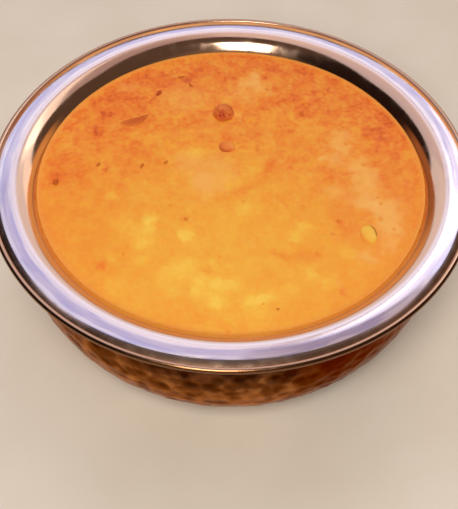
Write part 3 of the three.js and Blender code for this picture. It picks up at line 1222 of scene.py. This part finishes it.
# Painted light: a little lighter towards the left, where the light falls from the front left
painted_light_at_left = smooth_step(tree, -900, -400, place["X"], 0, -60 * MM)
causes = [(painted_shade_under_rim, 0.46), (painted_light_at_left, -0.06), (tarnish, 0.28), (pit.outputs["Fac"], 0.45)]
browning_and_painted_shade = weighted_sum(tree, -850, 50, 0.15, *causes)
copper_colour = scale_of_colours(tree, -250, 200, browning_and_painted_shade, copper_colours)
to_the_right = smooth_step(tree, -450, -300, place["X"], 12 * MM, 32 * MM)
red_share = weighted_sum(tree, -250, -100, 0.8, (red_bloom, 0.15))
red_share = maths(tree, "MULTIPLY", -100, -100, to_the_right, red_share)
copper_colour = mixed(tree, 50, 200, red_share, copper_colour, srgb(92, 24, 12))
give(tree, shader.inputs["Base Color"], copper_colour)
shader.inputs["Metallic"].default_value = 1.0
shader.inputs["Specular Tint"].default_value = (0.74, 0.5, 0.4, 1)
give(tree, shader.inputs["Roughness"], weighted_sum(tree, 100, -50, 0.1, (tarnish, 0.12)))
fine_marks = placed_group(tree, mottling, -300, -300, Size=1.4, Low=0.35, High=0.65)
bump(tree, shader, fine_marks, 0.04 * MM)
wear(copper_shell, copper_material)

# %% [markdown]
# ### Dal
#
# The painted redness is stirred with clouds of noise, from large to small, and a colour ramp turns
# it into yellow, orange or red. The froth adds rings of its own by a Voronoi pattern. Along the wall
# the dal is painted one lighter, even tone, as painted light that lifts the shade where it climbs the
# steel. Light goes a little way into it, so the shader has some subsurface scattering, and its wet top is
# glossy.

# %% The dal's scale of colours
# From the yellow of a lentil to the brown red of chilli
dal_colours = [
    (0.0, srgb(252, 207, 84)),
    (0.2, srgb(248, 191, 69)),
    (0.4, srgb(245, 171, 58)),
    (0.6, srgb(242, 150, 49)),
    (0.8, srgb(236, 120, 36)),
    (1.0, srgb(206, 86, 24)),
]


def froth_rings(tree, x, y, froth):
    """Raises the redness on the borders between small cells, where there is froth."""
    place = add_node(tree, "ShaderNodeTexCoord", x - 600, y)
    cells = add_node(tree, "ShaderNodeTexVoronoi", x - 400, y, feature="DISTANCE_TO_EDGE")
    give(tree, cells.inputs["Vector"], place.outputs["Object"])
    give(tree, cells.inputs["Scale"], 1 / (3.6 * MM))
    border = smooth_step(tree, x - 200, y, cells.outputs["Distance"], 0.22, 0.0)
    return maths(tree, "MULTIPLY", x, y, border, froth)


# %% The dal material
dal_material, tree, shader = new_material("dal")
painted = add_node(tree, "ShaderNodeAttribute", -1500, 300, attribute_name="redness")
pale = add_node(tree, "ShaderNodeAttribute", -1500, 0, attribute_name="pale")
froth_amount = add_node(tree, "ShaderNodeAttribute", -1500, -300, attribute_name="frothy")
place = axes(tree, -1900, 600)
far = smooth_step(tree, -1500, 600, place["Y"], -30 * MM, 30 * MM)
lively = weighted_sum(tree, -1300, 600, 0.4, (far, 0.6))
# Clouds (size in millimetres, detail, how far they push the redness, seed)
layers = [(14.0, 3.0, 0.07, 1.0), (4.0, 2.0, 0.12, 2.0), (1.6, 1.0, 0.09, 3.0)]
stirred = painted.outputs["Fac"]
for number, (size, detail, amount, seed) in enumerate(layers):
    x = -1200 + 200 * number
    cloud = placed_group(tree, mottling, x, 600, Size=size, Detail=detail, Low=0.3, High=0.7, Seed=seed)
    swing = maths(tree, "MULTIPLY_ADD", x, 450, cloud, 2 * amount, -amount)
    stirred = maths(tree, "MULTIPLY_ADD", x, 300, swing, lively, stirred)
rings = froth_rings(tree, -900, -200, froth_amount.outputs["Fac"])
stirred = maths(tree, "MULTIPLY_ADD", -500, 300, rings, 0.05, stirred)
dal_colour = scale_of_colours(tree, -300, 300, stirred, dal_colours)
# Paler where the dal is frothy or stirred, and where a painted sheen or painted highlight lies
dal_colour = mixed(tree, 0, 200, pale.outputs["Fac"], dal_colour, srgb(249, 188, 98))
# Painted light: a lighter, even tone along the wall, where the dal climbs the steel and would shade
# darker
painted_light_at_wall = placed_group(tree, zone, -300, -200, Inner=62.6, Outer=90.0, Soft=2.0)
dal_colour = mixed(tree, 200, 200, painted_light_at_wall, dal_colour, srgb(246, 160, 68))
give(tree, shader.inputs["Base Color"], dal_colour)
shader.inputs["IOR"].default_value = 1.35
shader.inputs["Specular IOR Level"].default_value = 0.3
shader.inputs["Subsurface Weight"].default_value = 0.2
shader.inputs["Subsurface Radius"].default_value = (1.0, 0.45, 0.15)
shader.inputs["Subsurface Scale"].default_value = 1.0 * MM
gloss_clouds = placed_group(tree, mottling, 0, -200, Size=3.0, Low=0.3, High=0.7, Seed=6.0)
give(tree, shader.inputs["Roughness"], weighted_sum(tree, 200, -200, 0.2, (gloss_clouds, 0.14)))
bump(tree, shader, gloss_clouds, 0.03 * MM)
wear(dal, dal_material)


# %% [markdown]
# ### What floats
#
# Tomato, skin, oil, bubbles and spice are all wet and soft, and differ only in colour, in how fine
# their grain is and in how they shine. So one function makes all these materials. Each reads the
# number that was stored on its piece: how much painted shade lies in the tomato's hollows and at its
# near left, how near the middle of the skin, which side of a dome is in painted shade, or how dark a
# fleck is.

# %% Tomato, skin, oil, bubbles and flecks
def soft_food(name, colours, attribute_name, size, roughness):
    """Wet cooked food, coloured by the named attribute and clouded."""
    material, tree, shader = new_material(name)
    marked = add_node(tree, "ShaderNodeAttribute", -700, 200, attribute_name=attribute_name)
    clouds = placed_group(tree, mottling, -700, 0, Size=size, Low=0.3, High=0.7)
    swing = weighted_sum(tree, -500, 0, -0.15, (clouds, 0.3))
    share = maths(tree, "ADD", -300, 100, marked.outputs["Fac"], swing)
    give(tree, shader.inputs["Base Color"], scale_of_colours(tree, -100, 200, share, colours))
    grain = placed_group(tree, mottling, -500, -300, Size=size / 4, Low=0.3, High=0.7, Seed=4.0)
    give(tree, shader.inputs["Roughness"], weighted_sum(tree, 0, -50, roughness, (grain, 0.12)))
    shader.inputs["IOR"].default_value = 1.35
    shader.inputs["Specular IOR Level"].default_value = 0.3
    bump(tree, shader, grain, 0.03 * MM)
    return material


# Flesh runs from lit tomato to its painted shade. The darker ends of oil, blister and foam are the
# painted shade on one side of each dome
flesh = [(0.0, srgb(233, 138, 68)), (0.5, srgb(212, 104, 44)), (1.0, srgb(176, 56, 20))]
curled_skin = [(0.0, srgb(238, 144, 52)), (0.4, srgb(216, 112, 40)), (1.0, srgb(200, 92, 30))]
spice = [(0.0, srgb(248, 158, 54)), (0.4, srgb(218, 116, 34)), (1.0, srgb(180, 66, 12))]
oil = [
    (0.08, srgb(241, 150, 52)),
    (0.4, srgb(245, 186, 68)),
    (0.6, srgb(247, 196, 76)),
    (0.74, srgb(238, 180, 58)),
    (0.9, srgb(176, 112, 38)),
]
blister = [
    (0.0, srgb(243, 156, 56)),
    (0.45, srgb(240, 144, 66)),
    (0.7, srgb(226, 118, 48)),
    (0.95, srgb(180, 80, 26)),
]
foam = [(0.0, srgb(246, 164, 72)), (0.5, srgb(244, 156, 60)), (1.0, srgb(228, 128, 46))]
wear(tomato, soft_food("tomato flesh", flesh, "red", 2.0, 0.34))
wear(skin, soft_food("tomato skin", curled_skin, "core", 2.0, 0.38))
wear(spice_flecks, soft_food("spice", spice, "dark", 1.6, 0.45))
wear(oil_drop, soft_food("oil", oil, "side", 5.0, 0.15))
wear(bubble, soft_food("bubble skin", blister, "side", 5.0, 0.3))
wear(froth_bubbles, soft_food("froth skin", foam, "side", 6.0, 0.3))

# %% [markdown]
# ## Fastening the pieces to the frame
#
# Each piece rides on the body of the bowl and says which solid it stands for, and that solid is hidden.

# %% Ride and replace
pieces = [
    (steel_bowl, "steel_bowl", "steel"),
    (copper_shell, "copper_shell", "copper"),
    (dal, "dal", "dal"),
    (oil_drop, "dal", "dal"),
    (bubble, "dal", "dal"),
    (froth_bubbles, "dal", "dal"),
    (spice_flecks, "dal", "dal"),
    (tomato, "tomato_piece", "tomato"),
    (skin, "tomato_skin", "tomato_skin"),
]
for piece, solid, finish in pieces:
    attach(piece, "root")
    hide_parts(solid)
print(len(pieces), "pieces stand for", len({solid for _, solid, _ in pieces}), "solids")

# %% [markdown]
# ## The studio
#
# A pale floor and soft lamps. The flat rim is a mirror, so what it shows is chosen with care: two
# bright windows low at the back, and above them a row of leaning panels, lilac at the left and pinker
# to the right. Overhead it stays dark, which the slope outside the crease mirrors as a dark band. One
# warm lamp in front lights the dal, the copper and the rolled edge.

# %% The floor
bpy.ops.object.select_all(action="DESELECT")
bpy.ops.mesh.primitive_circle_add(vertices=96, radius=2.5, fill_type="NGON", location=(0, 0, 0))
floor = bpy.context.object
floor.name = "floor"
floor_material, tree, shader = new_material("pale floor")
floor_tone = placed_group(tree, mottling, -300, 100, Size=40.0, Low=0.3, High=0.7)
floor_colour = mixed(tree, 100, 100, floor_tone, srgb(236, 228, 214), srgb(231, 222, 206))
give(tree, shader.inputs["Base Color"], floor_colour)
shader.inputs["Roughness"].default_value = 0.8
wear(floor, floor_material)


# %% The lamps
def area_lamp(name, place, aim, width, height, radiance, colour):
    """A flat lamp that faces a point and looks equally bright whatever its size."""
    bpy.ops.object.light_add(type="AREA", location=place)
    lamp = bpy.context.object
    lamp.name = name
    lamp.data.shape = "RECTANGLE"
    lamp.data.size = width
    lamp.data.size_y = height
    lamp.data.energy = radiance * math.pi * width * height
    lamp.data.color = colour
    lamp.rotation_euler = (Vector(aim) - Vector(place)).to_track_quat("-Z", "Y").to_euler()
    lamp.visible_camera = False
    print(name, "gives", round(lamp.data.energy, 1), "watts")


bowl_top = (0, 0, rim_height)
down_front = Vector((0, -0.36, -0.93))


def slanted_panel(name, place, width, height, radiance, colour):
    """A panel over the back of the bowl that leans like a roof window."""
    area_lamp(name, place, Vector(place) + down_front, width, height, radiance, colour)


area_lamp("back window", (-0.2, 0.9, 0.72), (-0.2, 0, 0.72), 1.3, 0.54, 0.95, (0.9, 0.89, 1.0))
area_lamp("right window", (0.55, 0.9, 0.86), (0.55, 0, 0.86), 0.6, 0.87, 1.25, (1.0, 0.94, 0.94))
slanted_panel("left panel", (-0.52, 0.515, 1.15), 0.74, 0.82, 0.8, (0.88, 0.84, 1.0))
slanted_panel("middle panel", (-0.055, 0.515, 1.15), 0.19, 0.82, 0.85, (1.0, 0.92, 0.98))
slanted_panel("right panel", (0.09, 0.515, 1.15), 0.1, 0.82, 0.55, (1.0, 0.84, 0.92))
slanted_panel("far right panel, low half", (0.49, 0.725, 1.069), 0.7, 0.37, 1.3, (1.0, 0.96, 0.95))
slanted_panel("far right panel, high half", (0.49, 0.343, 1.217), 0.7, 0.45, 0.42, (1.0, 0.82, 0.92))
area_lamp("front key", (-0.1, -0.62, 0.86), bowl_top, 0.32, 0.6, 13.3, (1.0, 0.95, 0.88))

# %% [markdown]
# ## The room
#
# What the metal mirrors between the lamps is the room: dim and brown, darker to the left, a little
# lighter in front, and with a warm glow low behind the bowl. It is painted by direction, because a
# world lies infinitely far away. To the camera itself it is a plain pale wall.

# %% Paint the room by direction
world = bpy.data.worlds.new("room")
world.use_nodes = True
scene.world = world
tree = world.node_tree
ground = tree.nodes["Background"]
ground.location = (600, 0)
direction = axes(tree, -900, 0, "Generated")
in_front = smooth_step(tree, -450, 200, direction["Y"], -0.6, -0.95)
behind = smooth_step(tree, -450, 0, direction["Y"], 0.2, 0.5)
low = smooth_step(tree, -450, -200, direction["Z"], 0.4, 0.3)
low_behind = maths(tree, "MULTIPLY", -200, 0, behind, low)
at_left = smooth_step(tree, -450, 400, direction["X"], -0.25, -0.55)
glow = mixed(tree, -250, 500, at_left, (0.9, 0.42, 0.13, 1), (0.42, 0.15, 0.05, 1))
room_colour = mixed(tree, -250, 300, at_left, (0.11, 0.07, 0.05, 1), (0.02, 0.01, 0.008, 1))
room_colour = mixed(tree, -100, 200, in_front, room_colour, (0.24, 0.16, 0.11, 1))
room_colour = mixed(tree, 100, 100, low_behind, room_colour, glow)
camera_ray = add_node(tree, "ShaderNodeLightPath", 0, 300)
room_colour = mixed(tree, 300, 0, camera_ray.outputs["Is Camera Ray"], room_colour, srgb(226, 219, 208))
give(tree, ground.inputs["Color"], room_colour)

# %% [markdown]
# ## The camera
#
# The camera looks down at the bowl from the side of the one who eats, as one would at the table,
# and is turned a little about its own axis.

# %% Place the camera
camera_place = Vector((-0.4 * MM, -254.8 * MM, rim_height + 261.2 * MM))
looking_down = math.radians(50.2)
camera_roll = math.radians(0.68)
image_height = 509
focal_pixels = 1100
sensor_width = 36
bpy.ops.object.camera_add(location=camera_place)
camera = bpy.context.object
camera.data.sensor_width = sensor_width
camera.data.lens = sensor_width * focal_pixels / image_height
turned = Matrix.Rotation(math.pi / 2 - looking_down, 4, "X") @ Matrix.Rotation(camera_roll, 4, "Z")
camera.rotation_euler = turned.to_euler()
scene.camera = camera
scene.view_settings.view_transform = "Standard"
print("lens", round(camera.data.lens, 1), "mm")
